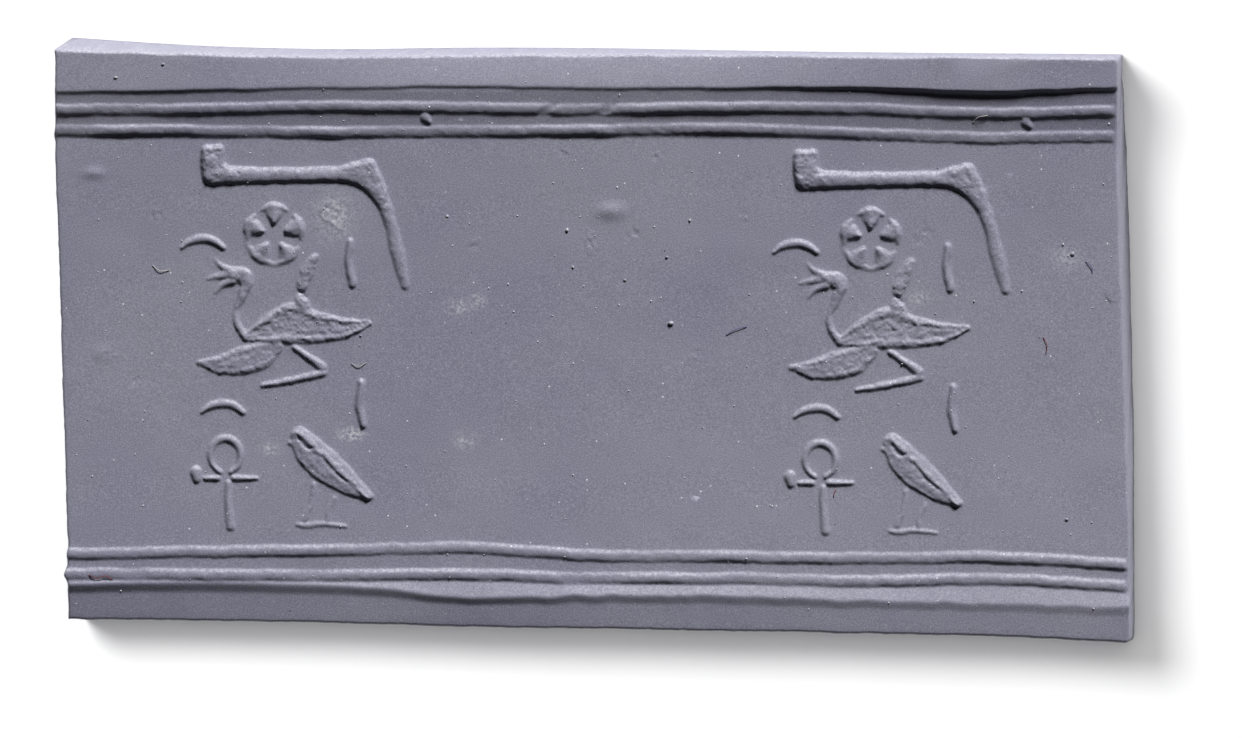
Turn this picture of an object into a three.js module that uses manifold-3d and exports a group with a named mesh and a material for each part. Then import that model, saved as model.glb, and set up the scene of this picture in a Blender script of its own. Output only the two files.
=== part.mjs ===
// Rolled impression of a cylinder seal: a strip of modelling clay, lying face up, that a small seal has been
// rolled across twice over. Millimetres. X runs along the roll, Y up the design and Z up out of the table.
// The origin is on the underside, in the middle of the strip's box.

import * as THREE from 'three';
import { mergeVertices } from 'three/addons/utils/BufferGeometryUtils.js';
import Module from 'manifold-3d';

// The seal
const sealDiameter = 10;
const oneTurn = Math.PI * sealDiameter; // the design comes round again after this length
const firstPrintX = -16.25; // middle of the design's first print
const turnDrift = -0.25; // the second print lies this much lower

// The strip
const stripThickness = 5;
const stripStep = 2; // spacing of the strip's sections along the roll
const leftEndX = -28.11;
const rightEndX = 27.97;
const endLean = -0.032; // how far the cut ends lean along X for each millimetre of Y
const leanFrom = -10.7; // the ends run straight up beyond these two places
const leanTo = 9.5;
const lineBulge = 0.1; // the border lines push the left end out this far
const leftUndercut = 0.7; // the left end is cut back this far at the table
const rightFlare = 0.45; // the right end spreads this far at the table
const arris = 0.16; // softened edge where the face turns down
const bottomFoot = 0.03; // the bottom side spreads this much at the table

// The printed field
const deepestStep = 0.3; // from the top margin down to the shoulder
const stepRun = 0.16; // the step drops across this much of Y
const shoulderStart = 10.6; // from here up the field rises to the step
const shoulderSlope = 0.16;
const shoulderRise = 0.42; // all that it rises by
const fieldLevel = stripThickness - deepestStep - shoulderRise;
const fieldDish = 0.15; // the field's middle lies this much lower than its borders
const halfField = 11; // half of the distance between the two pairs of border lines

// Border lines and figures
const lineWidth = 0.56;
const lineHeight = 0.17;
const lipHeight = 0.24; // edge of the bottom margin, above the field
const lipRound = 0.35; // the lip turns over across this much of Y
const bottomEdgeDrop = 0.12; // the bottom margin slopes down to this far under the field's level
const strokeHeight = 0.14; // unless a stroke says otherwise
const strokeStep = 1.1; // spacing of a stroke's sections
const strokeSink = 0.15; // a stroke's feet lie this far under the field
const footSpread = 0.54; // and this far out, as a share of its width
const endReach = 0.4; // a stroke's rounded end reaches this share of its width past its last point
const endScale = 0.5; // and shrinks to this share of its section

// What wavers along the strip is given at nine places, evenly spaced from the left end to the right
const places = Float32Array.from({ length: 9 }, (_, i) => -28 + 7 * i);

function along(values) {
  const curve = new THREE.CubicInterpolant(places, Float32Array.from(values), 1);
  return (x) => curve.evaluate(x)[0];
}

const topFoot = along([16.15, 15.72, 15.55, 15.62, 15.6, 15.48, 15.38, 15.32, 15.27]);
const topEdge = along([15.35, 15.15, 15, 15.08, 15.1, 15.1, 15, 14.97, 14.9]);
const topStep = along([13.05, 13.2, 13.3, 13.4, 13.3, 13.3, 13.3, 13.1, 13.3]);
const topMarginRise = along([0.08, 0.14, 0.16, 0.18, 0.14, 0.16, 0.24, 0.3, 0.24]);
const topMarginFall = along([0.04, 0.12, 0.3, 0.42, 0.42, 0.35, 0.16, 0.03, 0.02]);
const borderLines = [
  along([12.2, 12.2, 12.35, 12.3, 12.2, 12.3, 12.25, 12, 12.1]),
  along([11.1, 11.1, 11, 11.05, 11.1, 11.2, 10.95, 10.7, 10.8]),
  along([-11.25, -11.15, -11.05, -10.95, -11.35, -11.4, -11.5, -11.45, -11.85]),
  along([-12.3, -12.35, -12.4, -12.35, -12.55, -12.55, -12.7, -12.6, -13]),
];
const bottomLip = along([-13.05, -12.95, -13.15, -13.5, -13.4, -13.45, -13.7, -13.85, -14.05]);
const bottomEdge = along([-14.7, -14.79, -14.9, -15.1, -15.2, -15.32, -15.45, -15.6, -15.95]);

// Height of the pressed ground, without its lines and figures
function fieldAt(y) {
  const across = Math.min(1, Math.abs(y) / halfField);
  const shoulder = THREE.MathUtils.clamp(shoulderSlope * (y - shoulderStart), 0, shoulderRise);
  return fieldLevel - fieldDish * (1 - across * across) + shoulder;
}

// A border line's section: [across, up] as shares of its width and height
const ridgeShape = [[0.5, 0], [0.32, 0.75], [0, 1], [-0.32, 0.75], [-0.5, 0]];

// Section of the strip at one place along the roll, as points [y, z] from the foot of its top side, over the
// face, to the foot of its bottom side
function stripSection(x) {
  const stepFoot = topStep(x) - stepRun / 2;
  const stepTop = fieldAt(stepFoot) + topMarginRise(x);
  const edgeTop = stepTop - topMarginFall(x);
  const points = [
    [topFoot(x), 0],
    [topEdge(x), edgeTop - arris],
    [topEdge(x) - arris, edgeTop],
    [topStep(x) + stepRun / 2, stepTop],
    [stepFoot, fieldAt(stepFoot)],
  ];
  const ridge = (middle) => {
    for (const [across, up] of ridgeShape) {
      const y = middle + across * lineWidth;
      points.push([y, fieldAt(y) + up * lineHeight]);
    }
  };
  const [first, second, third, fourth] = borderLines.map((line) => line(x));
  ridge(first);
  ridge(second);
  for (const part of [0.8, 0.5, 0.15, -0.15, -0.5, -0.8]) {
    points.push([part * halfField, fieldAt(part * halfField)]);
  }
  ridge(third);
  ridge(fourth);
  const lip = bottomLip(x);
  points.push(
    [(fourth - lineWidth / 2 + lip + 0.1) / 2, fieldLevel],
    [lip, fieldLevel + lipHeight],
    [lip - lipRound, fieldLevel + 0.7 * lipHeight],
    [bottomEdge(x) + arris, fieldLevel - bottomEdgeDrop],
    [bottomEdge(x), fieldLevel - bottomEdgeDrop - arris],
    [bottomEdge(x) - bottomFoot, 0],
  );
  return points;
}

// The whole strip: its section carried along the roll between the two leaning ends, with a cap at each end
function stripGeometry() {
  const steps = Math.round((rightEndX - leftEndX) / stripStep);
  const positions = [];
  const index = [];
  let count = 0;
  for (let i = 0; i <= steps; i++) {
    const middle = THREE.MathUtils.lerp(leftEndX, rightEndX, i / steps);
    const section = stripSection(middle);
    count = section.length;
    for (const [y, z] of section) {
      const down = 1 - z / fieldLevel;
      const lean = endLean * THREE.MathUtils.clamp(y, leanFrom, leanTo);
      const bulge = lineBulge * THREE.MathUtils.clamp((z - fieldAt(y)) / lineHeight, 0, 1);
      const left = leftEndX + lean - bulge + leftUndercut * down;
      const right = rightEndX + lean + rightFlare * down;
      positions.push(THREE.MathUtils.lerp(left, right, i / steps), y, z);
    }
  }
  for (let i = 0; i < steps; i++) {
    for (let j = 0; j < count; j++) {
      const a = i * count + j;
      const b = i * count + ((j + 1) % count);
      index.push(a, b, a + count, b, b + count, a + count);
    }
  }
  for (const [first, turned] of [[0, true], [steps * count, false]]) {
    const outline = [];
    for (let j = 0; j < count; j++) {
      outline.push(new THREE.Vector2(positions[3 * (first + j) + 1], positions[3 * (first + j) + 2]));
    }
    for (const [a, b, c] of THREE.ShapeUtils.triangulateShape(outline, [])) {
      const face = [first + a, first + b, first + c];
      index.push(...(turned ? face.reverse() : face));
    }
  }
  return closedGeometry(positions, index);
}

function closedGeometry(positions, index) {
  const geometry = new THREE.BufferGeometry();
  geometry.setAttribute('position', new THREE.Float32BufferAttribute(positions, 3));
  geometry.setIndex(index);
  return geometry;
}

// Tops of a stroke's section: [across, up] as shares of its width and height
const roundTop = [[-0.3, 0.75], [0, 1], [0.3, 0.75]];
const sunkTop = [[-0.4, 1], [0, 0.6], [0.4, 1]]; // a body with a rim, sunk along its middle

// One raised stroke of the design: a section carried along a smooth line through the points, with round
// ends. width is one number or one for each point.
function strokeGeometry({ points, width, height = strokeHeight, top = roundTop }) {
  const line = points.map(([x, y]) => new THREE.Vector3(x, y, 0));
  const curve = new THREE.CatmullRomCurve3(line);
  const widths = Array.isArray(width) ? width : points.map(() => width);
  const last = points.length - 1;
  const rings = [];
  const addRing = (t, wide, scale, beyond) => {
    rings.push({ at: curve.getPoint(t), heading: curve.getTangent(t), wide, scale, beyond });
  };
  addRing(0, widths[0], endScale, -endReach);
  for (let i = 0; i < last; i++) {
    const [ax, ay] = points[i];
    const [bx, by] = points[i + 1];
    const pieces = Math.max(1, Math.round(Math.hypot(bx - ax, by - ay) / strokeStep));
    for (let j = 0; j < pieces; j++) {
      const share = j / pieces;
      addRing((i + share) / last, THREE.MathUtils.lerp(widths[i], widths[i + 1], share), 1, 0);
    }
  }
  addRing(1, widths[last], 1, 0);
  addRing(1, widths[last], endScale, endReach);

  const crown = top.map(([across, up]) => [across, up * height]);
  const section = [[-footSpread, -strokeSink], ...crown, [footSpread, -strokeSink]];
  const positions = [];
  for (const { at, heading, wide, scale, beyond } of rings) {
    const x = at.x + heading.x * beyond * wide;
    const y = at.y + heading.y * beyond * wide;
    for (const [across, up] of section) {
      const side = across * wide * scale;
      const z = fieldAt(y) + (up > 0 ? up * scale : up);
      positions.push(x + heading.y * side, y - heading.x * side, z);
    }
  }
  const count = section.length;
  const index = [];
  for (let i = 0; i < rings.length - 1; i++) {
    for (let j = 0; j < count; j++) {
      const a = i * count + j;
      const b = i * count + ((j + 1) % count);
      index.push(a, b, a + count, b, b + count, a + count);
    }
  }
  const end = (rings.length - 1) * count;
  for (let j = 1; j < count - 1; j++) {
    index.push(0, j + 1, j);
    index.push(end, end + j, end + j + 1);
  }
  return closedGeometry(positions, index);
}

// Points round part of an ellipse, from one angle in degrees to another
function arc(x, y, radiusX, radiusY, from, to, count) {
  return Array.from({ length: count }, (_, i) => {
    const angle = THREE.MathUtils.degToRad(THREE.MathUtils.lerp(from, to, i / (count - 1)));
    return [x + radiusX * Math.cos(angle), y + radiusY * Math.sin(angle)];
  });
}

// The design's figures, from the middle of the design. They are plain shapes and stand for no script.
function bracket() {
  return [
    { points: [[-3.87, 9.85], [-3.85, 9.3], [-3.8, 8.8]], width: [1.15, 1.05, 1], height: 0.28 },
    {
      points: [[-3.9, 8.75], [-1.5, 8.75], [0.8, 8.76], [2.9, 8.78], [4.2, 8.5], [5.05, 7.45], [5.55, 6.1],
        [5.9, 4.6], [6.33, 2.75]],
      width: [1, 0.76, 0.72, 0.76, 1, 0.68, 0.58, 0.62, 0.2],
      height: 0.25,
    },
    { points: [[3.4, 8.95], [4.4, 9.3]], width: [0.6, 0.75], height: 0.24 },
  ];
}

function rosette() {
  const [x, y] = [-0.62, 5.6];
  return Array.from({ length: 5 }, (_, i) => {
    const angle = THREE.MathUtils.degToRad(90 + 72 * i);
    const [cos, sin] = [Math.cos(angle), Math.sin(angle)];
    const points = [[x + 1.2 * cos, y + 1.25 * sin], [x + 0.65 * cos, y + 0.65 * sin]];
    return { points, width: [1.1, 0.25], height: 0.18 };
  });
}

function waterbird() {
  return [
    { points: [[-4.12, 3.3], [-3.5, 3.42], [-2.95, 3.55]], width: [0.14, 0.3, 0.5] }, // bill
    { points: [[-3.77, 4.32], [-3.4, 3.95], [-2.95, 3.7]], width: [0.12, 0.25, 0.4] }, // crest
    { points: [[-3.72, 2.55], [-3.35, 2.95], [-2.8, 3.2]], width: [0.12, 0.24, 0.4] }, // lower bill
    { points: [[-2.85, 3.55], [-2.25, 3.45], [-2.05, 3.1]], width: [0.6, 0.8, 0.55], height: 0.2 }, // head
    {
      points: [[-2.1, 2.9], [-2.3, 2.35], [-2.62, 1.65], [-2.57, 0.9], [-2.1, 0.2]], // neck
      width: [0.5, 0.42, 0.26, 0.3, 0.36],
    },
    {
      points: [[-1.9, 0.28], [-1, 0.55], [0.3, 0.92], [1.4, 0.73], [3, 0.67], [4.4, 0.92]], // body
      width: [0.5, 1.28, 2.17, 1.7, 1.05, 0.2],
      height: 0.2,
      top: sunkTop,
    },
    { points: [[0.85, 1.7], [0.8, 2.25]], width: [0.9, 0.55] }, // shoulder
    { points: [[0.85, 2.85], [1.1, 3.6], [1.5, 4.4]], width: [0.65, 0.75, 0.45] }, // raised wing
    {
      points: [[-0.55, -0.3], [-1.4, -0.8], [-2.4, -1.07], [-3.5, -1.26], [-4.6, -1.17]], // tail
      width: [0.75, 1.4, 1.42, 0.9, 0.2],
      height: 0.2,
      top: sunkTop,
    },
    { points: [[0.41, -0.34], [1.02, -0.75], [1.95, -1.4]], width: [0.22, 0.28, 0.42] }, // leg
    {
      points: [[2, -1.68], [0.9, -1.95], [-0.2, -2.17], [-1.25, -2.37]], // foot
      width: [0.34, 0.3, 0.3, 0.16],
    },
  ];
}

function ringedPin() {
  return [
    { points: arc(-3.19, -6.07, 0.8, 0.92, -70, 250, 10), width: 0.32 },
    { points: [[-3.05, -7.5], [-3.05, -8.6], [-2.92, -9.8]], width: [0.3, 0.3, 0.42] },
    { points: [[-4.3, -7.25], [-3.6, -7.27]], width: [0.16, 0.3] }, // dash on its left
    { points: [[-2.75, -7.25], [-1.5, -7.25]], width: [0.3, 0.14] }, // dash on its right
    { points: [[-4.75, -6.9], [-4.72, -7.3]], width: [0.55, 0.4], height: 0.18 }, // knot on the left
  ];
}

function standingLeaf() {
  return [
    {
      points: [[0.63, -5.04], [1.19, -5.87], [1.9, -6.58], [2.73, -7.22], [3.57, -7.83], [4.36, -8.33]],
      width: [0.75, 1.35, 1.47, 1.18, 0.76, 0.15],
      height: 0.26,
      top: sunkTop,
    },
    { points: [[1.5, -7.6], [1.35, -8.5], [1, -9.45]], width: 0.24, height: 0.09 },
    { points: [[2.55, -8.3], [2.25, -8.95], [2.18, -9.45]], width: 0.22, height: 0.09 },
    { points: [[0.6, -9.72], [1.9, -9.7], [3.2, -9.79]], width: [0.16, 0.25, 0.12], height: 0.1 },
  ];
}

function crescents() {
  return [[-4.4, 3.9], [-3.35, -4.8]].map(([x, y]) => {
    return { points: arc(x, y, 1.5, 1.5, 137, 43, 5), width: [0.12, 0.34, 0.4, 0.36, 0.24] };
  });
}

function upperStroke() {
  return [{ points: [[3.4, 5.25], [3.3, 4.2], [3.53, 3]], width: [0.32, 0.35, 0.4], height: 0.16 }];
}

function lowerStroke() {
  return [{ points: [[4, -2.2], [3.87, -3.35], [4.08, -4.45]], width: [0.34, 0.38, 0.3], height: 0.17 }];
}

function lineKnot() {
  return [{ points: [[7.35, 11.8], [7.6, 11.55]], width: [0.5, 0.2] }];
}

// The seal slips a little on its second time round: each figure comes out longer by a share, and shifted
const design = [
  { figure: bracket, longer: 1.04, slipX: 0.05, slipY: 0 },
  { figure: rosette, longer: 1, slipX: 0.1, slipY: 0 },
  { figure: waterbird, longer: 1.038, slipX: 0.03, slipY: 0 },
  { figure: ringedPin, longer: 1.02, slipX: 0.06, slipY: 0 },
  { figure: standingLeaf, longer: 0.95, slipX: -0.08, slipY: -0.1 },
  { figure: crescents, longer: 1.04, slipX: 0.08, slipY: 0 },
  { figure: upperStroke, longer: 1, slipX: 0.15, slipY: 0 },
  { figure: lowerStroke, longer: 1, slipX: -0.15, slipY: 0 },
  { figure: lineKnot, longer: 1, slipX: 0.3, slipY: 0 },
];

const wasm = await Module();
wasm.setup();

function toSolid(geometry) {
  const merged = mergeVertices(geometry, 1e-4);
  return new wasm.Manifold(
    new wasm.Mesh({
      numProp: 3,
      vertProperties: merged.attributes.position.array,
      triVerts: new Uint32Array(merged.index.array),
    }),
  );
}

function impressionGeometry() {
  let solid = toSolid(stripGeometry());
  for (let print = 0; print < 2; print++) {
    for (const { figure, longer, slipX, slipY } of design) {
      const stretch = print ? longer : 1;
      const x = firstPrintX + print * (oneTurn + slipX);
      const y = print * (turnDrift + slipY);
      for (const stroke of figure()) {
        const points = stroke.points.map(([px, py]) => [x + stretch * px, y + py]);
        solid = solid.add(toSolid(strokeGeometry({ ...stroke, points })));
      }
    }
  }
  const { vertProperties, triVerts } = solid.getMesh();
  const geometry = closedGeometry(vertProperties, Array.from(triVerts));
  geometry.computeBoundingBox();
  const centre = geometry.boundingBox.getCenter(new THREE.Vector3());
  geometry.translate(-centre.x, -centre.y, -geometry.boundingBox.min.z);
  geometry.computeVertexNormals();
  return geometry;
}

const clay = new THREE.MeshStandardMaterial({ color: 0x8a8b99, roughness: 0.85, metalness: 0 });

const impression = new THREE.Mesh(impressionGeometry(), clay);
impression.name = 'clay_impression';

const group = new THREE.Group();
group.add(impression);

export default group;
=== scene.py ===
import bpy
import math
import numpy as np
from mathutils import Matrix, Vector


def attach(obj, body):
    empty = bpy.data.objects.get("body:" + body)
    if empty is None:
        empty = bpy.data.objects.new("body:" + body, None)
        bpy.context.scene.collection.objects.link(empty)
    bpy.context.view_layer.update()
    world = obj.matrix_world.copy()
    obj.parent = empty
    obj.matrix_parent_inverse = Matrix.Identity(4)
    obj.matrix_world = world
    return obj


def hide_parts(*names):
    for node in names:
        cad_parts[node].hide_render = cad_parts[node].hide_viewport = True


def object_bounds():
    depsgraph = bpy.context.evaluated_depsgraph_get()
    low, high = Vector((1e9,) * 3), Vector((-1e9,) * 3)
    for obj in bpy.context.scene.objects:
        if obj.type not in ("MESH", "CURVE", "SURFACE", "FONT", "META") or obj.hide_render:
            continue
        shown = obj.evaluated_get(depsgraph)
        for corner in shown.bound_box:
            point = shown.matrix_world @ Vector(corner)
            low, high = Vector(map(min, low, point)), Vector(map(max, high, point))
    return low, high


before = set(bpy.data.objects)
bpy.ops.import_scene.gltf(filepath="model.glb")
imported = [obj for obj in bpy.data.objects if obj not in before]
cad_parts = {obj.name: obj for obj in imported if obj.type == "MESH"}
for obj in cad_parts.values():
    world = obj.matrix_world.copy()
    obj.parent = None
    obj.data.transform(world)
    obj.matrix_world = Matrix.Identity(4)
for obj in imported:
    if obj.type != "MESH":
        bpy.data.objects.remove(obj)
cadLow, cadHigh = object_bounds()
mm = 0.001


def ease(t):
    t = np.clip(t, 0, 1)
    return t * t * (3 - 2 * t)


def blend(a, b, t):
    return a + (b - a) * t


# point at share t between b and c, on a smooth line that also passes through a and d
def smoothPoint(a, b, c, d, t):
    return b + 0.5 * t * (c - a + t * (2 * a - 5 * b + 4 * c - d + t * (3 * (b - c) + d - a)))


# a smooth line through values spaced evenly along the strip, every 7 mm from x = -28
def wavering(values):
    first, last = 2 * values[0] - values[1], 2 * values[-1] - values[-2]
    v = np.array([first, *values, last])

    def at(x):
        place = np.clip((x + 28) / 7, 0, len(values) - 1.000001)
        i = place.astype(int)
        return smoothPoint(v[i], v[i + 1], v[i + 2], v[i + 3], place - i)

    return at


# smooth random relief from -1 to 1, with bumps about the given size across
def grainOf(x, y, size, seed):
    table = np.random.default_rng(seed).uniform(-1, 1, (256, 256))
    gx, gy = x / size + 100, y / size + 100
    i, j = np.floor(gx).astype(int), np.floor(gy).astype(int)
    tx, ty = ease(gx - i), ease(gy - j)
    i, j = i % 256, j % 256
    i2, j2 = (i + 1) % 256, (j + 1) % 256
    low = blend(table[j, i], table[j, i2], tx)
    high = blend(table[j2, i], table[j2, i2], tx)
    return blend(low, high, ty)


def hill(x, y, middleX, middleY, radiusX, radiusY):
    return np.exp(-(((x - middleX) / radiusX) ** 2) - ((y - middleY) / radiusY) ** 2)


# the clay strip, in millimetres; x runs along the roll and y across it
clay = {
    "columns": 1100,  # points along the roll, about 0.05 apart
    "rows": 600,  # and across it
    "wallRows": 12,  # rings of points down the side walls
    "keptFaces": 185000,  # triangles left after the flat parts are thinned
    "boxTop": (cadHigh.z - cadLow.z) / mm,
    "oneTurn": math.pi * 10,  # the seal is 10 across
    "firstPrintX": -16.25,  # middle of the left print
    "turnDrift": -0.25,  # how far the second print slips across
    "leftEnd": -28.11,
    "rightEnd": 27.97,
    "endLean": -0.032,  # slant of both ends, between leanFrom and leanTo
    "leanFrom": -10.7,
    "leanTo": 9.5,
    "leftUndercut": 0.7,  # the foot is drawn in under the left end
    "rightFlare": 0.45,  # and stands out at the right end
    "arris": 0.14,  # rounding of the rim
    "cornerRound": 0.35,
    "shoulderStart": 10.7,  # from here the field climbs towards the top margin
    "shoulderSlope": 0.21,
    "shoulderRise": 0.52,
    "fieldLevel": 4.17,
    "fieldDish": 0.15,  # depth of the hollow between the borders
    "halfField": 11.0,
    "stepRun": 0.16,  # width of the step up to the top margin
    "lineWidth": 0.6,
    "lineHeight": 0.12,
    "lipHeight": 0.24,
    "strokeHeight": 0.14,
    "softening": 2,  # passes that round the pressed edges
    "litSlopePaleness": 0.35,  # painted highlight: how pale the slopes are that face the raking light
    "litSlopeSteepness": 0.8,
}
# lines along the strip, as their y
topFoot = wavering([16.15, 15.72, 15.55, 15.62, 15.6, 15.48, 15.38, 15.32, 15.27])
topEdge = wavering([15.35, 15.15, 15, 15.08, 15.1, 15.1, 15, 14.97, 14.9])
topStep = wavering([13.05, 13.2, 13.3, 13.4, 13.3, 13.3, 13.3, 13.1, 13.3])
# the top margin's height above the field at its step, and how far it sinks towards the rim
topMarginRise = wavering([0.08, 0.13, 0.11, 0.12, 0.12, 0.14, 0.22, 0.27, 0.2])
topMarginFall = wavering([0, 0.02, 0.14, 0.25, 0.27, 0.24, 0.08, -0.03, -0.03])
# the raised border lines, from the top down
borderLines = [
    wavering([12.2, 12.2, 12.35, 12.3, 12.2, 12.3, 12.25, 12, 12.1]),
    wavering([11.1, 11.1, 11, 11.05, 11.1, 11.2, 10.95, 10.7, 10.8]),
    wavering([-11.25, -11.15, -11.05, -10.95, -11.35, -11.4, -11.5, -11.45, -11.85]),
    wavering([-12.3, -12.35, -12.4, -12.35, -12.55, -12.55, -12.7, -12.6, -13]),
]
bottomLip = wavering([-13.05, -12.95, -13.15, -13.5, -13.4, -13.45, -13.7, -13.85, -14.05])
lipOpen = wavering([0.35, 0.1, 0.35, 1, 1, 1, 1, 1, 1])  # near the left end the lip dies away
bottomEdge = wavering([-14.7, -14.79, -14.9, -15.1, -15.2, -15.32, -15.45, -15.6, -15.95])
bottomEdgeRise = wavering([-0.3, -0.3, -0.2, -0.1, -0.05, -0.02, 0.02, 0.05, 0.05])

# places where a border line is worn or torn: line, x, half length, share of its height that is left, slant
wornLines = [
    (0, -2.45, 0.3, 0.25, 0.9), (0, 0.65, 0.35, 0.2, 1.1), (1, 2.8, 2.0, 0.5, 0), (1, -27.3, 1.0, 0.55, 0),
    (2, 9.0, 0.8, 0.75, 0), (3, -1.0, 0.6, 0.7, 0), (3, -15.0, 1.0, 0.6, 0),
]
# low swellings left under the seal: x, y, radii, height
mounds = [(0.87, 6.85, 0.75, 0.42, 0.11), (-26.4, 8.86, 0.55, 0.28, 0.07), (-26.0, -0.7, 0.5, 0.4, 0.04)]
# flaky spots where the clay stuck to the seal: x, y, radii
flakes = [
    (-0.13, 5.22, 0.42, 0.58), (2.13, 5.69, 0.35, 0.3), (-6.25, 5.06, 0.35, 0.3), (-1.5, 9.96, 0.3, 0.22),
    (3.29, 9.8, 0.3, 0.22), (7.99, 6.59, 0.3, 0.3), (-23.1, 6.64, 0.35, 0.3), (-25.6, -0.74, 0.4, 0.3),
    (-24.2, -2.06, 0.35, 0.3), (5.46, -0.74, 0.35, 0.25), (-14.1, 6.5, 0.8, 0.9), (17.4, 5.6, 0.6, 0.6),
]
# pale smears of dried clay: x, y, radii, strength
smears = [
    (-7.2, 1.79, 0.5, 0.3, 0.8), (-6.14, 2.16, 0.4, 0.25, 0.7), (-12.75, -4.95, 0.6, 0.28, 1.0),
    (-17.05, -5.75, 0.45, 0.22, 0.8), (-6.77, -5.27, 0.5, 0.3, 0.6), (-13.6, 6.6, 0.8, 1.0, 0.55),
    (17.2, 2.3, 0.5, 0.3, 0.6), (24.9, 4.4, 0.7, 0.6, 0.4),
]


def arc(x, y, radiusX, radiusY, start, end, count):
    angles = np.radians(np.linspace(start, end, count))
    return [(x + radiusX * math.cos(a), y + radiusY * math.sin(a)) for a in angles]


# the design: every stroke has points, a width and a height, and tells how rough or sunk its top is
def bracket():
    return [
        {"points": [(-3.87, 9.8), (-3.85, 9.3), (-3.8, 8.8)], "width": [0.9, 0.95, 1.0], "height": 0.25,
         "rough": 1},
        {"points": [(-4.18, 10.1), (-3.5, 10.12)], "width": 0.42, "height": 0.24, "rough": 1},
        {"points": [(-4.2, 10.05), (-4.2, 9.1), (-4.0, 8.6)], "width": 0.5, "height": 0.26, "rough": 1},
        {"points": [(-3.5, 10.0), (-3.5, 9.4), (-3.2, 9.0), (-2.6, 8.85)], "width": [0.45, 0.5, 0.6, 0.4],
         "height": 0.2, "rough": 1},
        {"points": [(-3.9, 8.75), (-1.5, 8.75), (0.8, 8.76), (2.9, 8.78), (4.2, 8.5), (5.05, 7.45),
                    (5.55, 6.1), (5.9, 4.6), (6.3, 2.95)],
         "width": [1.0, 0.76, 0.72, 0.76, 1.0, 0.7, 0.58, 0.68, 0.42],
         "height": [0.27, 0.22, 0.21, 0.22, 0.24, 0.18, 0.14, 0.14, 0.12], "rough": 0.35},
        {"points": [(2.6, 8.9), (3.6, 9.05), (4.4, 9.28)], "width": [0.4, 0.7, 0.66],
         "height": [0.2, 0.22, 0.22], "rough": 0.6},
        {"points": [(4.4, 9.28), (4.6, 8.8), (4.9, 8.1), (5.3, 7.1)], "width": [0.66, 0.7, 0.66, 0.4],
         "height": [0.22, 0.22, 0.19, 0.14], "rough": 0.8},
        {"points": [(3.9, 8.9), (4.5, 8.4)], "width": 0.9, "height": 0.23, "rough": 0.8},
    ]


def rosette():
    x, y = -0.62, 5.6
    lobes = []
    for i in range(5):
        turn = 90 + 72 * i
        c, s = math.cos(math.radians(turn)), math.sin(math.radians(turn))
        low = 0.12 if s < -0.5 else 0.17
        lobes.append({"points": [(x + 1.2 * c, y + 1.25 * s), (x + 0.65 * c, y + 0.65 * s)],
                      "width": [0.9, 0.2], "height": [low, 0.2], "rough": 0.5})
        lobes.append({"points": arc(x, y, 1.42, 1.48, turn - 26, turn + 26, 4),
                      "width": [0.16, 0.42, 0.42, 0.16], "height": [0.08, low, low, 0.08], "rough": 0.3})
    return lobes + [
        {"points": arc(x, y, 1.5, 1.55, 240, 300, 5), "width": 0.22, "height": 0.05},
        {"points": arc(x, y, 1.5, 1.55, 150, 215, 5), "width": 0.2, "height": 0.04},
    ]


def waterbird():
    return [
        {"points": [(-4.12, 3.3), (-3.5, 3.42), (-2.95, 3.55)], "width": [0.14, 0.3, 0.5],
         "height": [0.05, 0.1, 0.14], "rough": 0.4},  # bill
        {"points": [(-3.77, 4.32), (-3.4, 3.95), (-2.95, 3.7)], "width": [0.12, 0.25, 0.4],
         "height": [0.04, 0.09, 0.14], "rough": 0.3},  # crest
        {"points": [(-3.72, 2.55), (-3.35, 2.95), (-2.8, 3.2)], "width": [0.14, 0.28, 0.45],
         "height": [0.05, 0.12, 0.18]},  # lower bill
        {"points": [(-2.85, 3.55), (-2.25, 3.45), (-2.05, 3.1)], "width": [0.6, 0.85, 0.6], "height": 0.2,
         "rough": 0.8},  # head
        {"points": [(-2.1, 2.9), (-2.3, 2.35), (-2.62, 1.65), (-2.57, 0.9), (-2.1, 0.2)],
         "width": [0.5, 0.42, 0.26, 0.3, 0.36], "height": [0.18, 0.15, 0.08, 0.12, 0.14],
         "rough": 0.6},  # neck
        {"points": [(-1.9, 0.28), (-1.0, 0.55), (0.3, 0.92), (1.4, 0.73), (3.0, 0.67), (4.4, 0.92)],
         "width": [0.5, 1.28, 2.2, 1.7, 1.05, 0.2], "height": [0.14, 0.2, 0.23, 0.22, 0.2, 0.16], "sunk": 0.6,
         "rough": 1},  # body
        {"points": [(0.85, 1.7), (0.8, 2.25)], "width": [0.9, 0.55], "height": 0.15, "rough": 1},  # shoulder
        {"points": [(0.85, 2.85), (1.1, 3.6), (1.5, 4.4)], "width": [0.55, 0.75, 0.4], "height": 0.13,
         "rough": 1},  # raised wing
        {"points": [(0.8, 2.6), (1.02, 2.3)], "width": 0.16, "height": -0.12},  # slit in the wing
        {"points": [(-0.55, -0.3), (-1.4, -0.8), (-2.4, -1.07), (-3.5, -1.26), (-4.6, -1.17)],
         "width": [0.75, 1.4, 1.42, 0.9, 0.2], "height": [0.16, 0.2, 0.2, 0.2, 0.15], "sunk": 0.35,
         "rough": 0.8},  # tail
        {"points": [(0.41, -0.34), (1.02, -0.75), (1.95, -1.4)], "width": [0.22, 0.28, 0.42],
         "rough": 0.4},  # leg
        {"points": [(2.0, -1.68), (0.9, -1.95), (-0.2, -2.17), (-1.25, -2.37)],
         "width": [0.34, 0.3, 0.3, 0.16], "rough": 0.4},  # foot
    ]


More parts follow.
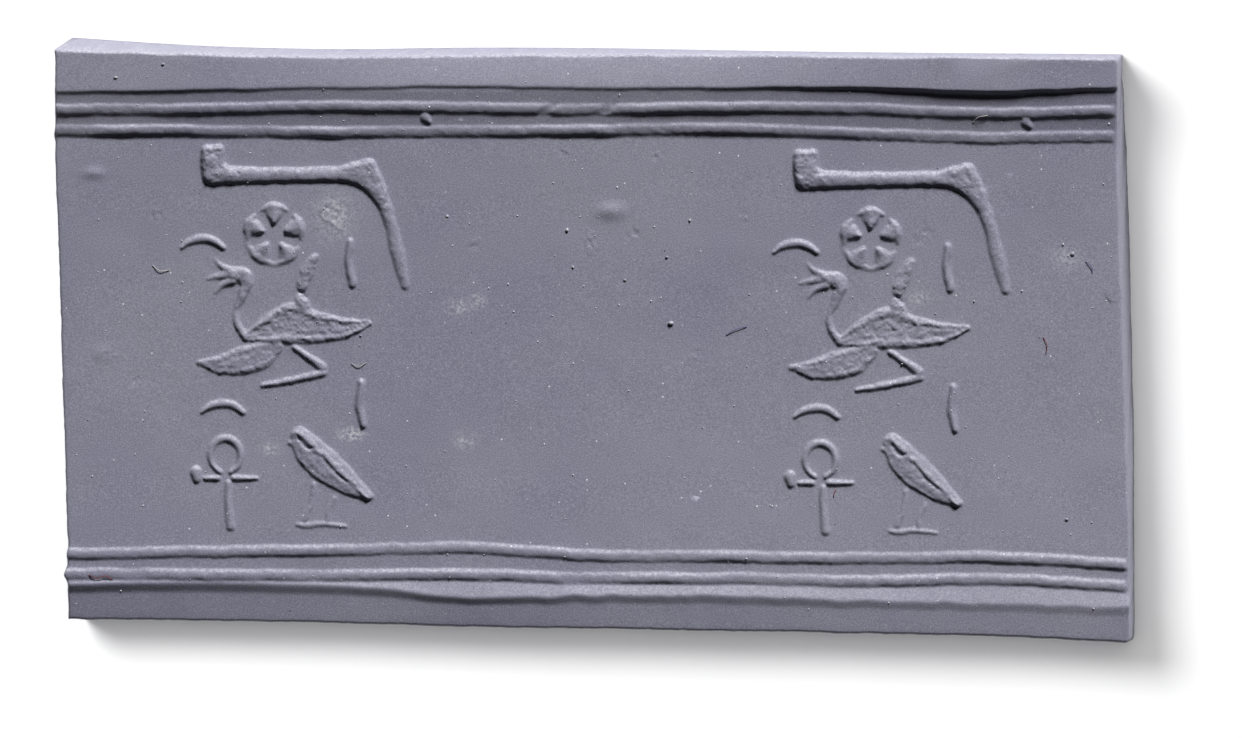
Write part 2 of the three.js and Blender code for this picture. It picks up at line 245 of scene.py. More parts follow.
def ringedPin():
    return [
        {"points": arc(-3.19, -6.07, 0.8, 0.92, -70, 250, 10),  # ring
         "width": [0.2, 0.26, 0.3, 0.34, 0.36, 0.36, 0.32, 0.26, 0.22, 0.2], "height": 0.13},
        {"points": [(-3.05, -7.5), (-3.05, -8.6), (-2.92, -9.8)], "width": [0.28, 0.3, 0.42],
         "height": 0.12},  # shaft
        {"points": [(-4.3, -7.25), (-3.6, -7.27)], "width": [0.14, 0.3]},  # dash on its left
        {"points": [(-2.75, -7.25), (-1.5, -7.25)], "width": [0.3, 0.12]},  # dash on its right
        {"points": [(-4.75, -6.9), (-4.72, -7.3)], "width": [0.55, 0.4], "height": 0.16},  # knot on the left
    ]


def standingLeaf():
    spine = [(0.63, -5.04), (1.19, -5.87), (1.9, -6.58), (2.73, -7.22), (3.57, -7.83), (4.36, -8.33)]
    return [
        {"points": [(px + 0.1, py + 0.1) for px, py in spine], "width": [0.8, 1.5, 1.7, 1.4, 0.9, 0.3],
         "height": 0.15},
        {"points": spine, "width": [0.75, 1.35, 1.47, 1.18, 0.76, 0.15], "height": 0.25, "sunk": 0.4,
         "sunkAside": (-0.1, -0.09), "rough": 0.6},
        {"points": [(0.67, -5.16), (1.07, -5.63), (1.47, -5.67)], "width": 0.14, "height": -0.08},
        {"points": [(1.86, -6.07), (2.34, -6.62), (2.73, -7.06), (3.13, -7.34), (3.84, -7.81)], "width": 0.13,
         "height": -0.06},  # fold
        {"points": [(0.22, -5.38), (0.5, -5.5)], "width": 0.22, "height": 0.1},
        {"points": [(1.5, -7.6), (1.35, -8.5), (1.0, -9.45)], "width": 0.24, "height": 0.07, "rough": 0.4},
        {"points": [(2.55, -8.3), (2.25, -8.95), (2.18, -9.45)], "width": 0.22, "height": 0.06, "rough": 0.4},
        {"points": [(0.6, -9.72), (1.1, -9.76), (1.9, -9.68), (3.2, -9.79)],
         "width": [0.16, 0.26, 0.24, 0.12], "height": 0.08},
    ]


def crescents():
    return [{"points": arc(x, y, 1.5, 1.5, 137, 43, 5), "width": [0.12, 0.34, 0.4, 0.36, 0.24]}
            for x, y in [(-4.4, 3.9), (-3.35, -4.8)]]


def upperStroke():
    return [{"points": [(3.4, 5.25), (3.3, 4.2), (3.53, 3.0)], "width": [0.32, 0.35, 0.4],
             "height": 0.15}]


def lowerStroke():
    return [{"points": [(4.0, -2.2), (3.87, -3.35), (4.08, -4.45)], "width": [0.34, 0.38, 0.3],
             "height": 0.16}]


def lineKnot():
    return [{"points": [(7.35, 11.8), (7.6, 11.55)], "width": [0.5, 0.2], "height": 0.12}]


# how much longer each figure comes out on the second print, and how far it slips in x and y
design = [
    (bracket, 1.04, 0.05, 0), (rosette, 1, 0.1, 0), (waterbird, 1.038, 0.03, 0), (ringedPin, 1.02, 0.06, 0),
    (standingLeaf, 0.95, -0.08, -0.1), (crescents, 1.04, 0.08, 0), (upperStroke, 1, 0.15, 0),
    (lowerStroke, 1, -0.15, 0), (lineKnot, 1, 0.3, 0),
]


# points every 0.06 along a smooth line through the stroke's points, with the width and height there
def alongStroke(points, width=1, height=1):
    points = np.array(points, dtype=float)
    sizes = np.empty((len(points), 2))
    sizes[:, 0] = width
    sizes[:, 1] = height
    p = np.concatenate([[2 * points[0] - points[1]], points, [2 * points[-1] - points[-2]]])
    line, made = [], []
    for i in range(len(points) - 1):
        count = max(2, int(np.linalg.norm(points[i + 1] - points[i]) / 0.06))
        t = np.linspace(0, 1, count, endpoint=False)[:, None]
        line.append(smoothPoint(p[i], p[i + 1], p[i + 2], p[i + 3], t))
        made.append(blend(sizes[i], sizes[i + 1], t))
    made = np.concatenate([*made, sizes[-1:]])
    return np.concatenate([*line, points[-1:]]), made[:, 0], made[:, 1]


# 0 on a stroke's middle line and 1 on its outline, with the stroke's height at the nearest place
def shareAcross(px, py, line, wide, high):
    best = np.full(px.shape, 9.0)
    height = np.zeros(px.shape)
    for (lx, ly), w, h in zip(line, wide, high):
        share = np.hypot(px - lx, py - ly) / (w / 2 + 0.02)
        nearer = share < best
        best[nearer] = share[nearer]
        height[nearer] = h
    return best, height


# raises one stroke out of the field where it stands higher than what is there; a negative height cuts into it
def pressStroke(relief, rough, x, y, stroke):
    height = stroke.get("height", clay["strokeHeight"])
    line, wide, high = alongStroke(stroke["points"], stroke["width"], height)
    reach = wide.max() * 0.7 + 0.1
    lowX, lowY = line.min(axis=0) - reach
    highX, highY = line.max(axis=0) + reach
    near = (x > lowX) & (x < highX) & (y > lowY) & (y < highY)
    px, py = x[near], y[near]
    # rough outline: the same on both prints, because it is cut so in the seal
    ragged = 0.02 + 0.015 * stroke.get("rough", 0)
    px = px + ragged * grainOf(px, py, 0.35, 11) + 0.4 * ragged * grainOf(px, py, 0.15, 12)
    py = py + ragged * grainOf(px, py, 0.35, 13) + 0.4 * ragged * grainOf(px, py, 0.15, 14)
    across, height = shareAcross(px, py, line, wide, high)
    top = height * np.clip(1 - across**2, 0, 1) ** 0.5
    if "sunk" in stroke:
        inner, _ = shareAcross(px, py, line + stroke.get("sunkAside", (0, 0)), wide, high)
        top *= 1 - stroke["sunk"] * ease((0.74 - inner) / 0.3)
    top *= 1 + 0.1 * grainOf(px, py, 0.5, 15)
    if high[0] < 0:
        relief[near] += top
    else:
        relief[near] = np.maximum(relief[near], top)
    rough[near] = np.maximum(rough[near], stroke.get("rough", 0) * ease((1 - across) / 0.2))


def softened(z, passes):
    for _ in range(passes):
        z[1:-1] = (z[:-2] + 2 * z[1:-1] + z[2:]) / 4
        z[:, 1:-1] = (z[:, :-2] + 2 * z[:, 1:-1] + z[:, 2:]) / 4
    return z


# the ground that the seal's body pressed, with its margins
def groundHeight(x, y, along):
    across = np.minimum(1, np.abs(y) / clay["halfField"])
    shoulder = np.clip(clay["shoulderSlope"] * (y - clay["shoulderStart"]), 0, clay["shoulderRise"])
    z = clay["fieldLevel"] - clay["fieldDish"] * (1 - across**2) + shoulder

    # top margin: stands above the field behind a steep step, and rounds away towards its edge
    step = topStep(along) + 0.03 * grainOf(x, 0 * y, 1.3, 21) + 0.012 * grainOf(x, 0 * y, 0.4, 24)
    past = y - (step - clay["stepRun"] / 2)
    outward = np.clip(past / (topEdge(along) - step), 0, 1)
    z += topMarginRise(along) * np.clip(past / clay["stepRun"], 0, 1) - topMarginFall(along) * outward**1.4

    # bottom margin: a lip, then a face that slopes away to the edge
    isOpen = lipOpen(along)
    fourthFoot = borderLines[3](along) - 0.25
    lip = blend(fourthFoot - 0.12, bottomLip(along), isOpen)
    lip += isOpen * (0.05 * grainOf(x, 0 * y, 1.1, 22) + 0.035 * grainOf(x, 0 * y, 0.5, 23))
    lipHeight = clay["lipHeight"] * (0.25 + 0.75 * isOpen)
    rising = np.clip((fourthFoot - y) / np.maximum(0.1, fourthFoot - lip), 0, 1)
    falling = np.clip((lip - y) / (lip - bottomEdge(along)), 0, 1)
    drop = (lipHeight - bottomEdgeRise(along)) * (0.6 * falling + 0.4 * ease(falling / 0.3))
    z += np.where(y < fourthFoot, lipHeight * rising - drop, 0)
    return z


# the whole face: ground, border lines, both prints, and what time and handling left on it
def pressedFace(x, y, along):
    relief = np.zeros_like(x)
    rough = np.zeros_like(x)
    for n, line in enumerate(borderLines):
        middle = line(along) + 0.03 * grainOf(x, 0 * y, 0.9, 31 + n) + 0.012 * grainOf(x, 0 * y, 0.25, 41 + n)
        left = np.ones_like(x)
        for which, place, half, share, slant in wornLines:
            if which == n:
                aside = np.abs(x - place - slant * (y - middle))
                left -= (1 - share) * ease(1.4 - aside / half) * (0.8 + 0.3 * grainOf(x, y, 0.3, 51))
        left *= ease((clay["rightEnd"] - along) / 0.35)
        across = np.abs(y - middle) / (clay["lineWidth"] / 2)
        swelling = 1 + 0.3 * grainOf(x, 0 * y, 3.5, 55 + n)
        ridge = clay["lineHeight"] * np.clip(1 - across**2, 0, 1) ** 0.5 * swelling
        relief = np.maximum(relief, ridge * left * (1 + 0.12 * grainOf(x, y, 0.45, 52)))
        rough = np.maximum(rough, 0.25 * (across < 1))

    for turn in range(2):
        for figure, longer, slipX, slipY in design:
            stretch = longer if turn else 1
            px = (x - clay["firstPrintX"] - turn * (clay["oneTurn"] + slipX)) / stretch
            py = y - turn * (clay["turnDrift"] + slipY)
            for stroke in figure():
                pressStroke(relief, rough, px, py, stroke)
    z = softened(groundHeight(x, y, along) + relief, clay["softening"])

    for mx, my, rx, ry, height in mounds:
        z += height * hill(x, y, mx, my, rx, ry)
    for mx, my, rx, ry in flakes:
        rough = np.maximum(rough, 0.9 * hill(x, y, mx, my, rx, ry))
    z += rough * (0.03 * grainOf(x, y, 0.26, 53) + 0.022 * grainOf(x, y, 0.13, 54))
    z += 0.02 * grainOf(x, y, 5.0, 61) + 0.01 * grainOf(x, y, 1.6, 62) + 0.003 * grainOf(x, y, 0.5, 63)
    return z


# the left and right ends at a given y
def clayOutline(y):
    lean = clay["endLean"] * np.clip(y, clay["leanFrom"], clay["leanTo"])
    left = clay["leftEnd"] + lean + 0.025 * grainOf(y, 0 * y, 1.1, 71) + 0.015 * grainOf(y, 0 * y, 0.3, 72)
    right = clay["rightEnd"] + lean + 0.02 * grainOf(y, 0 * y, 1.3, 73) + 0.01 * grainOf(y, 0 * y, 0.3, 74)
    # the border lines bulge out at the left end
    for place, out in [(10.9, 0.06), (-11.3, 0.08), (-12.35, 0.2)]:
        left -= out * np.exp(-(((y - place) / 0.3) ** 2))
    return left, right


# grid of points over the face, with along as each column's own place on the strip
def clayGrid():
    u, v = np.meshgrid(np.linspace(0, 1, clay["columns"] + 1), np.linspace(0, 1, clay["rows"] + 1))
    along = blend(clay["leftEnd"], clay["rightEnd"], u)
    low, high = bottomEdge(along), topEdge(along)
    low = low + 0.02 * grainOf(along, 0 * along, 0.9, 75) + 0.012 * grainOf(along, 0 * along, 0.3, 76)
    high = high + 0.03 * grainOf(along, 0 * along, 1.5, 77) + 0.012 * grainOf(along, 0 * along, 0.3, 78)
    y = blend(low, high, v)
    left, right = clayOutline(y)
    # the two corners on the right are rounded
    corner = clay["cornerRound"]
    toCorner = np.clip(1 - np.minimum(high - y, (y - low) * 1.4) / corner, 0, 1)
    right -= corner * (1 - np.sqrt(1 - toCorner**2)) * 0.8
    x = blend(left, right, u)
    z = pressedFace(x, y, along)
    toEnd = np.minimum(u, 1 - u) * (clay["rightEnd"] - clay["leftEnd"])
    toSide = np.minimum(v, 1 - v) * (high - low)
    inside = np.clip(clay["arris"] - np.minimum(toEnd, toSide), 0, clay["arris"])
    z -= clay["arris"] - np.sqrt(clay["arris"]**2 - inside**2)
    return x, y, np.minimum(z, clay["boxTop"]), along


# points, quads and the ring of the underside; rings of points run down the walls to the foot
def clayStripMesh(x, y, z, along):
    columns, rows = clay["columns"], clay["rows"]
    i, j = np.arange(columns), np.arange(rows)
    rimRow = np.concatenate([0 * i, j, 0 * i + rows, rows - j])
    rimColumn = np.concatenate([i, 0 * j + columns, columns - i, 0 * j])
    rx, ry, rz = x[rimRow, rimColumn], y[rimRow, rimColumn], z[rimRow, rimColumn]
    ru, rv = rimColumn / columns, rimRow / rows
    footX = rx + blend(clay["leftUndercut"], clay["rightFlare"], ru)
    footY = ry + blend(-0.03, topFoot(along[rimRow, rimColumn]) - ry, rv)
    rings = [np.stack([x.ravel(), y.ravel(), z.ravel()], axis=1)]
    for row in range(1, clay["wallRows"] + 1):
        down = row / clay["wallRows"]
        rings.append(np.stack([blend(rx, footX, down), blend(ry, footY, down), rz * (1 - down)], axis=1))
    points = np.concatenate(rings)

    corner = (np.arange(rows)[:, None] * (columns + 1) + np.arange(columns)[None, :]).ravel()
    quads = [np.stack([corner, corner + 1, corner + columns + 2, corner + columns + 1], axis=1)]
    above = rimRow * (columns + 1) + rimColumn
    for row in range(clay["wallRows"]):
        below = len(rings[0]) + row * len(rimRow) + np.arange(len(rimRow))
        quads.append(np.stack([above, below, np.roll(below, -1), np.roll(above, -1)], axis=1))
        above = below
    return points, np.concatenate(quads), above[::-1]


# the closed strip, thinned where it is flat
def buildClayStrip(grid):
    points, quads, underside = clayStripMesh(*grid)
    mesh = bpy.data.meshes.new("clayImpression")
    loops = np.concatenate([quads.ravel(), underside])
    starts = np.concatenate([np.arange(len(quads)) * 4, [quads.size]])
    mesh.vertices.add(len(points))
    mesh.vertices.foreach_set("co", (points * mm).ravel())
    mesh.loops.add(len(loops))
    mesh.loops.foreach_set("vertex_index", loops)
    mesh.polygons.add(len(starts))
    mesh.polygons.foreach_set("loop_start", starts)
    mesh.update(calc_edges=True)
    mesh.validate()
    piece = bpy.data.objects.new("clayImpression", mesh)
    bpy.context.collection.objects.link(piece)
    thin = piece.modifiers.new("thin", "DECIMATE")
    thin.ratio = clay["keptFaces"] / (2 * len(quads))
    bpy.context.view_layer.update()
    made = bpy.data.meshes.new_from_object(piece.evaluated_get(bpy.context.evaluated_depsgraph_get()))
    piece.modifiers.clear()
    piece.data = made
    bpy.data.meshes.remove(mesh)
    made.name = "clayImpression"
    made.polygons.foreach_set("use_smooth", np.ones(len(made.polygons), dtype=bool))
    return piece


# place of a point of the face in the grid, as column and row
def gridPlace(px, py):
    x, y, z, along = stripGrid
    left, right = clayOutline(py)
    column = np.clip(np.rint((px - left) / (right - left) * clay["columns"]), 0, clay["columns"]).astype(int)
    row = (py - y[0, column]) / (y[-1, column] - y[0, column]) * clay["rows"]
    return column, np.clip(np.rint(row), 0, clay["rows"]).astype(int)


# how pale each point is: real pale smears of dried clay, and painted highlight on the slopes that face the
# raking light
def paleSmearsAndPaintedHighlight(mesh):
    co = np.empty(len(mesh.vertices) * 3)
    mesh.vertices.foreach_get("co", co)
    px, py, pz = co.reshape(-1, 3).T / mm
    x, y, z, along = stripGrid
    slope = np.gradient(z, axis=0) / np.gradient(y, axis=0)
    column, row = gridPlace(px, py)
    onFace = pz > z[row, column] - 0.05
    # painted highlight: slopes that face the raking light are made paler
    smearAndHighlight = clay["litSlopePaleness"] * ease(-slope[row, column] / clay["litSlopeSteepness"]) * onFace
    for sx, sy, rx, ry, strength in smears:
        smearAndHighlight = np.maximum(smearAndHighlight, strength * hill(px, py, sx, sy, rx, ry))
    layer = mesh.attributes.new("smearAndHighlight", "FLOAT", "POINT")
    layer.data.foreach_set("value", smearAndHighlight.astype(np.float32))


stripGrid = clayGrid()
clayStrip = buildClayStrip(stripGrid)
paleSmearsAndPaintedHighlight(clayStrip.data)
print("clay strip:", len(clayStrip.data.polygons), "faces")


# height of the finished face under a point
def faceHeight(px, py):
    column, row = gridPlace(np.array([float(px)]), np.array([float(py)]))
    return stripGrid[2][row[0], column[0]]


loose = {
    "specks": 330,  # fine pale grains all over the face
    "speckSize": (0.022, 0.05),
    "speckX": (-27.4, 27.4),
    "speckY": (-14.2, 14.4),
    "seed": 5,
    # larger crumbs: x, y, size
    "crumbs": [
        (4.09, 0.95, 0.2), (-7.72, 6.59, 0.09), (-1.4, 5.85, 0.1), (3.87, 4.43, 0.09), (5.09, 6.38, 0.08),
        (1.66, 3.22, 0.08), (-1.08, 3.9, 0.08), (25.3, 4.6, 0.12), (24.8, 5.1, 0.09), (25.0, -9.43, 0.12),
        (-25.2, 13.9, 0.12), (-22.7, 14.6, 0.1), (-12.3, 0.28, 0.07), (-9.9, -6.6, 0.07), (20.1, 2.1, 0.09),
    ],
    "fibreRadius": 0.018,
    "fibreSides": 6,
    "fibreLift": 0.05,  # how far a fibre's middle stands off the face
    # fibres: colour, points
    "fibres": [
        ("red", [(23.75, 0.2), (23.95, -0.2), (23.9, -0.7)]),
        ("red", [(12.8, -7.85), (12.7, -8.05), (12.68, -8.25)]),
        ("red", [(-26.65, -12.35), (-26.2, -12.55), (-25.8, -12.4), (-25.4, -12.6)]),
        ("blue", [(7.0, 0.3), (7.5, 0.6), (8.1, 0.75)]),
        ("blue", [(26.0, 4.2), (26.3, 3.9), (26.35, 3.6)]),
        ("pale", [(-23.3, 4.0), (-22.9, 3.7), (-22.4, 3.75)]),
        ("pale", [(20.0, 11.5), (20.3, 11.8), (20.8, 11.9)]),
        ("pale", [(-12.8, -1.2), (-12.4, -1.35), (-12.0, -1.15)]),
    ],
}


def looseMesh(name, points, faces):
    mesh = bpy.data.meshes.new(name)
    mesh.from_pydata([Vector(p) * mm for p in points], [], faces)
    mesh.polygons.foreach_set("use_smooth", np.ones(len(mesh.polygons), dtype=bool))
    piece = bpy.data.objects.new(name, mesh)
    bpy.context.collection.objects.link(piece)
    return piece


# twenty-faced lumps, each with its own shape, sunk a little into the face
def buildCrumbs(name, places, random):
    g = (1 + math.sqrt(5)) / 2
    corners = np.array([(-1, g, 0), (1, g, 0), (-1, -g, 0), (1, -g, 0), (0, -1, g), (0, 1, g), (0, -1, -g),
                        (0, 1, -g), (g, 0, -1), (g, 0, 1), (-g, 0, -1), (-g, 0, 1)]) / 1.9
    sides = [(0, 11, 5), (0, 5, 1), (0, 1, 7), (0, 7, 10), (0, 10, 11), (1, 5, 9), (5, 11, 4),
             (11, 10, 2), (10, 7, 6), (7, 1, 8), (3, 9, 4), (3, 4, 2), (3, 2, 6), (3, 6, 8), (3, 8, 9),
             (4, 9, 5), (2, 4, 11), (6, 2, 10), (8, 6, 7), (9, 8, 1)]
    points, faces = [], []
    for x, y, size in places:
        start = len(points)
        stretch = random.uniform(0.6, 1.3, 3) * [1, 1, 0.8]
        lump = corners * random.uniform(0.75, 1.2, (12, 1)) * stretch * size
        top = min(faceHeight(x, y) + 0.2 * size, clay["boxTop"] - lump[:, 2].max())
        points += [tuple(p) for p in lump + [x, y, top]]
        faces += [tuple(start + n for n in side) for side in sides]
    return looseMesh(name, points, faces)


# a thin closed tube that lies on the face and lifts off it between its ends
def buildFibres(name, colour):
    points, faces = [], []
    sides, radius = loose["fibreSides"], loose["fibreRadius"]
    for which, path in loose["fibres"]:
        if which != colour:
            continue
        line = alongStroke(path)[0]
        start = len(points)
        for n, (x, y) in enumerate(line):
            share = n / (len(line) - 1)
            step = line[min(n + 1, len(line) - 1)] - line[max(n - 1, 0)]
            step = step / np.linalg.norm(step)
            middle = faceHeight(x, y) + radius * 1.2 + loose["fibreLift"] * math.sin(math.pi * share)
            for k in range(sides):
                turn = 2 * math.pi * k / sides
                out, up = radius * math.cos(turn), radius * math.sin(turn)
                points.append((x - step[1] * out, y + step[0] * out, middle + up))
        for n in range(len(line) - 1):
            for k in range(sides):
                a, b = start + n * sides + k, start + n * sides + (k + 1) % sides
                faces.append((a, b, b + sides, a + sides))
        faces.append(tuple(start + k for k in reversed(range(sides))))
        faces.append(tuple(start + (len(line) - 1) * sides + k for k in range(sides)))
    return looseMesh(name, points, faces)


random = np.random.default_rng(loose["seed"])
speckPlaces = [[random.uniform(*loose[key]) for key in ("speckX", "speckY", "speckSize")]
               for _ in range(loose["specks"])]
specks = buildCrumbs("paleSpecks", speckPlaces, random)
crumbs = buildCrumbs("clayCrumbs", loose["crumbs"], random)
fibres = {colour: buildFibres(colour + "Fibres", colour) for colour in ("red", "blue", "pale")}
loosePieces = [specks, crumbs, *fibres.values()]
print("loose pieces done")

# the strip is centred in its box, and what lies on it goes along
corners = [Vector(c) for c in clayStrip.bound_box]
low = Vector([min(c[i] for c in corners) for i in range(3)])
high = Vector([max(c[i] for c in corners) for i in range(3)])
shift = (cadLow + cadHigh - low - high) / 2
shift.z = cadLow.z - low.z
for piece in [clayStrip, *loosePieces]:
    for vertex in piece.data.vertices:
        vertex.co += shift


# an sRGB hex colour as the linear values that shaders take
def linearColour(hexCode):
    channels = [int(hexCode[i:i + 2], 16) / 255 for i in (1, 3, 5)]
    return [c / 12.92 if c <= 0.04045 else ((c + 0.055) / 1.055) ** 2.4 for c in channels] + [1]


# adds a node; settings are plain values of its sockets or its own choices, links feed its sockets
def addNode(tree, kind, settings={}, links={}):
    node = tree.nodes.new(kind)
    for name, value in settings.items():
        if name in node.inputs and not hasattr(node, name):
            node.inputs[name].default_value = value
        else:
            setattr(node, name, value)
    for name, source in links.items():
        tree.links.new(source, node.inputs[name])
    return node


def startMaterial(name):
    material = bpy.data.materials.new(name)
    material.use_nodes = True
    return material, material.node_tree, material.node_tree.nodes["Principled BSDF"]


# noise whose blobs are about the given size across, in mm
def noiseOf(tree, place, size, detail):
    settings = {"Scale": 1 / (size * mm), "Detail": detail}
    return addNode(tree, "ShaderNodeTexNoise", settings, {"Vector": place}).outputs["Fac"]


def mapped(tree, source, fromLow, fromHigh, toLow, toHigh):
    settings = {"From Min": fromLow, "From Max": fromHigh, "To Min": toLow, "To Max": toHigh}
    return addNode(tree, "ShaderNodeMapRange", settings, {"Value": source}).outputs["Result"]


# colour a with the given share of b over it; inputs 6 and 7 and output 2 are the node's colour sockets
def mixed(tree, share, a, b):
    node = addNode(tree, "ShaderNodeMix", {"data_type": "RGBA"}, {0: share})
    for n, colour in ((6, a), (7, b)):
        if isinstance(colour, list):
            node.inputs[n].default_value = colour
        else:
            tree.links.new(colour, node.inputs[n])
    return node.outputs[2]


# scattered round grains of about the given size and spacing, in mm; share says how many cells have one
def grainsOf(tree, place, spacing, size, share):
    cells = addNode(tree, "ShaderNodeTexVoronoi", {"Scale": 1 / (spacing * mm)}, {"Vector": place})
    dot = mapped(tree, cells.outputs["Distance"], 0.5 * size / spacing, 0.3 * size / spacing, 0, 1)
    chance = addNode(tree, "ShaderNodeSeparateColor", {}, {"Color": cells.outputs["Color"]}).outputs["Red"]
    there = mapped(tree, chance, share, share - 0.1, 0, 1)
    return addNode(tree, "ShaderNodeMath", {"operation": "MULTIPLY"}, {0: dot, 1: there}).outputs[0]


claySurface = {
    "tones": ("#878699", "#8e8d9d"),
    "patch": 9.0,  # mm, hand warmth and thickness change the tone slowly
    "grain": 0.07,  # coarser than real clay's, about 0.02, so that it still shows
    "grainShare": 0.4,
    "grainTones": ("#bdbdca", "#565664"),
    "grainDepth": 0.007,
    "pitShade": (0.6, 0.1, 0.11),  # painted shade of tiny pits, as dark dots: spacing, size, share
    "pitShadeTone": "#3f3e4a",
    "chalk": (0.5, 0.11, 0.14),
    "chalkTone": "#e6e6ea",
    "streak": 0.16,
    # pale tone of the dried clay smears, also laid on as painted highlight on slopes facing the light
    "smearAndHighlightTone": "#d9dae0",
    "roughness": (0.55, 0.68),
    "ior": 1.45,  # oil and wax binder
}


# oil-based modelling clay, pressed flat by a stone cylinder: dull and fine-grained, with pale smears and a
# painted highlight on the slopes that face the light
def modellingClay():
    material, tree, shader = startMaterial("modellingClayPressed")
    darker, lighter = [linearColour(tone) for tone in claySurface["tones"]]
    grainLight, grainDark = [linearColour(tone) for tone in claySurface["grainTones"]]
    share = claySurface["grainShare"]
    place = addNode(tree, "ShaderNodeTexCoord").outputs["Object"]
    broad = noiseOf(tree, place, claySurface["patch"], 2.0)
    colour = mixed(tree, mapped(tree, broad, 0.35, 0.65, 0, 1), darker, lighter)
    fine = noiseOf(tree, place, claySurface["grain"], 2.0)
    colour = mixed(tree, mapped(tree, fine, 0.52, 0.72, 0, share), colour, grainLight)
    colour = mixed(tree, mapped(tree, fine, 0.48, 0.28, 0, share), colour, grainDark)
    # dark dots: painted shade standing in for tiny pits in the clay
    pitShade = grainsOf(tree, place, *claySurface["pitShade"])
    colour = mixed(tree, pitShade, colour, linearColour(claySurface["pitShadeTone"]))
    chalk = grainsOf(tree, place, *claySurface["chalk"])
    colour = mixed(tree, chalk, colour, linearColour(claySurface["chalkTone"]))
    # pale smears, and painted highlight on the slopes facing the raking light, broken by streaks
    smearAndHighlight = addNode(tree, "ShaderNodeAttribute", {"attribute_name": "smearAndHighlight"}).outputs["Fac"]
    streak = mapped(tree, noiseOf(tree, place, claySurface["streak"], 3.0), 0.42, 0.6, 0, 1)
    streakedSmearAndHighlight = addNode(tree, "ShaderNodeMath", {"operation": "MULTIPLY"}, {0: smearAndHighlight, 1: streak}).outputs[0]
    colour = mixed(tree, streakedSmearAndHighlight, colour, linearColour(claySurface["smearAndHighlightTone"]))
    tree.links.new(colour, shader.inputs["Base Color"])
    tree.links.new(mapped(tree, broad, 0.3, 0.7, *claySurface["roughness"]), shader.inputs["Roughness"])
    depth = claySurface["grainDepth"] * mm
    bump = addNode(tree, "ShaderNodeBump", {"Strength": 1.0, "Distance": depth}, {"Height": fine})
    tree.links.new(bump.outputs["Normal"], shader.inputs["Normal"])
    shader.inputs["IOR"].default_value = claySurface["ior"]
    return material


# dry, dull and uneven: grains of clay and chalk that catch the light as bright points, and lint
def dryMatter(name, light, dark):
    material, tree, shader = startMaterial(name)
    place = addNode(tree, "ShaderNodeTexCoord").outputs["Object"]
    patch = noiseOf(tree, place, 0.4, 2.0)
    colour = mixed(tree, mapped(tree, patch, 0.35, 0.65, 0, 1), linearColour(dark), linearColour(light))
    tree.links.new(colour, shader.inputs["Base Color"])
    tree.links.new(mapped(tree, patch, 0.3, 0.7, 0.75, 0.9), shader.inputs["Roughness"])
    bump = addNode(tree, "ShaderNodeBump", {"Strength": 0.6, "Distance": 0.00001},
                   {"Height": noiseOf(tree, place, 0.08, 2.0)})
    tree.links.new(bump.outputs["Normal"], shader.inputs["Normal"])
    return material


materials = {
    clayStrip.name: modellingClay(),
    crumbs.name: dryMatter("clayCrumbsDried", "#b9bac2", "#8c8d9a"),  # paler than the clay they fell from
    specks.name: dryMatter("chalkDustGrains", "#e8e8ea", "#b4b5be"),  # nearly white
    fibres["red"].name: dryMatter("dyedCottonRed", "#8c4038", "#70302c"),
    fibres["blue"].name: dryMatter("dyedCottonBlue", "#4a5c8c", "#3a4870"),
    fibres["pale"].name: dryMatter("undyedCotton", "#c8c6c0", "#a8a6a2"),
}
for piece in [clayStrip, *loosePieces]:
    piece.data.materials.clear()
    piece.data.materials.append(materials[piece.name])
    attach(piece, "root")
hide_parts("clay_impression")
print("materials done")

# floor, light and camera
stage = {
    "frameWidth": 65.5,  # what the camera sees across, mm
    "aimX": 1.45,  # middle of the view, mm from the middle of the strip's own grid
    "aimY": -1.48,
    "lens": 300,  # long, so that the walls hardly show
    "sensor": 36,
    "floorHalf": 3.0,  # m
    "floorGap": 0.00001,  # m, keeps the floor off the underside
    "floorTone": "#f6f6f6",
    "roomTone": "#f2f2f4",
    "roomLight": 0.004,  # nearly none, so that creases stay dark
}
centreX, centreY = shift.x / mm + stage["aimX"], shift.y / mm + stage["aimY"]

floorMesh = bpy.data.meshes.new("paleFloor")
half = stage["floorHalf"]
floorCorners = [(-half, -half, 0), (half, -half, 0), (half, half, 0), (-half, half, 0)]
floorMesh.from_pydata(floorCorners, [], [(0, 1, 2, 3)])
floor = bpy.data.objects.new("paleFloor", floorMesh)
bpy.context.collection.objects.link(floor)
floor.location.z = cadLow.z - stage["floorGap"]
# matt white paint: no shine, only the strip's soft shadow
floorMaterial, floorTree, floorShader = startMaterial("paintedBoardMatt")
floorShader.inputs["Base Color"].default_value = linearColour(stage["floorTone"])
floorShader.inputs["Roughness"].default_value = 0.9
floorMesh.materials.append(floorMaterial)

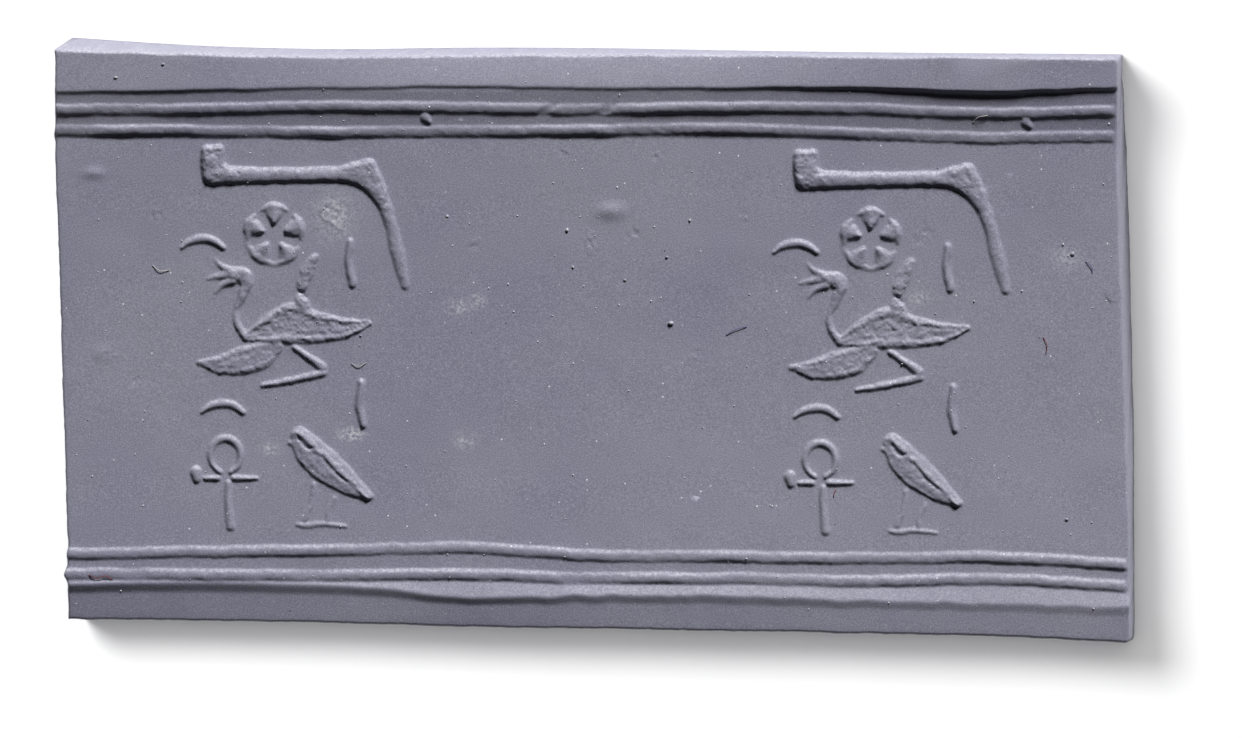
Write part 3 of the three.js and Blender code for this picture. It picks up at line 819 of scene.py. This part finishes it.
litClay = bpy.data.collections.new("litClay")
for piece in [clayStrip, *loosePieces]:
    litClay.objects.link(piece)
litFloor = bpy.data.collections.new("litFloor")
litFloor.objects.link(floor)


# an area light that looks at the middle of the strip; azimuth is counted from +Y towards +X
def softbox(name, azimuth, elevation, distance, size, power, receivers):
    a, e = math.radians(azimuth), math.radians(elevation)
    towards = Vector((math.sin(a) * math.cos(e), math.cos(a) * math.cos(e), math.sin(e)))
    light = bpy.data.lights.new(name, "AREA")
    light.shape = "DISK"
    light.size = size
    light.energy = power
    lamp = bpy.data.objects.new(name, light)
    lamp.location = towards * distance
    lamp.rotation_mode = "QUATERNION"
    lamp.rotation_quaternion = towards.to_track_quat("Z", "Y")
    lamp.visible_camera = False
    bpy.context.collection.objects.link(lamp)
    lamp.light_linking.receiver_collection = receivers


# name, azimuth and elevation in degrees, distance and size in m, power in W, and what the light falls on
softboxes = [
    ("rakingKey", 18, 30, 1.5, 0.38, 36, litClay),  # low and small, so that every ridge throws its shadow
    ("clayFill", -50, 70, 1.5, 1.0, 0.2, litClay),  # faint, lifts the creases
    ("floorKey", -52, 52, 0.6, 0.28, 3.2, litFloor),  # throws the strip's soft shadow on the floor
    ("floorTop", 0, 88, 0.6, 0.6, 2.35, litFloor),  # brings the floor up to white
]
for settings in softboxes:
    softbox(*settings)

world = bpy.data.worlds.new("paleRoom")
bpy.context.scene.world = world
world.use_nodes = True
world.node_tree.nodes["Background"].inputs["Color"].default_value = linearColour(stage["roomTone"])
world.node_tree.nodes["Background"].inputs["Strength"].default_value = stage["roomLight"]
bpy.context.scene.view_settings.view_transform = "Standard"

camera = bpy.data.objects.new("camera", bpy.data.cameras.new("camera"))
bpy.context.collection.objects.link(camera)
camera.data.lens = stage["lens"]
camera.data.sensor_width = stage["sensor"]
distance = stage["frameWidth"] / stage["sensor"] * stage["lens"]
camera.location = (centreX * mm, centreY * mm, cadHigh.z + distance * mm)
camera.data.clip_start = 0.01
camera.data.clip_end = 5
bpy.context.scene.camera = camera

print("scene ready")
